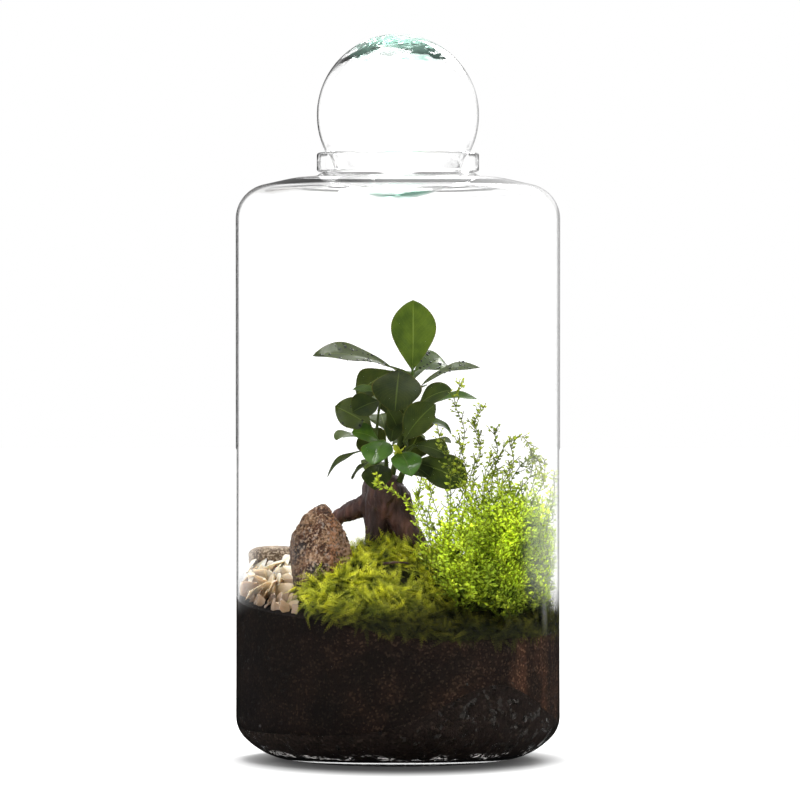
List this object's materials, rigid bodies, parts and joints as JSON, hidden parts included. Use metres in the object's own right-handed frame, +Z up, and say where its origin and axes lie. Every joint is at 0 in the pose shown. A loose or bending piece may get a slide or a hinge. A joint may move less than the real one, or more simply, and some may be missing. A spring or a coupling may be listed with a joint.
{
  "type": "planted glass jar terrarium",
  "caption": "Tall round glass jar closed by a hollow glass ball, planted with a small ficus on stilt roots, moss and spikemoss over soil, charcoal, stones and white chips.",
  "frame": {"origin": "middle of the jar's flat underside", "axes": "+Z up along the jar's axis; -Y is the side that the planting faces; +X is that side's right"},
  "size_m": [0.22, 0.22, 0.4916],
  "materials": {
    "glass": "clear blown glass",
    "charcoal": "broken charcoal, glossy on its fresh faces",
    "soil": "damp dark soil",
    "moss": "soft cushion of moss strands",
    "rock": "rough reddish rock with pale flecks",
    "stone": "rough tan stone",
    "chips": "translucent white chips",
    "bark": "dark ridged bark",
    "leaf": "glossy leaf",
    "spray": "soft fresh green leaflets"
  },
  "bodies": {
    "root": {"jar": "glass", "stopper_ball": "glass", "charcoal_bed": "charcoal", "soil_bed": "soil", "moss_mound": "moss", "rock_tall": "rock", "rock_flat": "stone", "white_chips": "chips", "twig": "bark", "ficus_trunk": "bark", "ficus_shoot_crown": "leaf", "ficus_shoot_left": "leaf", "ficus_shoot_right": "leaf", "ficus_shoot_back": "leaf", "spikemoss_front_tip": "spray", "spikemoss_middle_tip": "spray", "spikemoss_wiry": "spray", "spikemoss_arching": "spray", "spikemoss_wall": "spray", "spikemoss_heart": "spray", "spikemoss_wall_back": "spray", "spikemoss_behind": "spray", "spikemoss_low_front": "spray", "spikemoss_leaning": "spray", "spikemoss_corner": "spray", "spikemoss_wall_front": "spray", "spikemoss_back_left": "spray", "spikemoss_back_right": "spray", "spikemoss_back": "spray"}
  },
  "joints": []
}
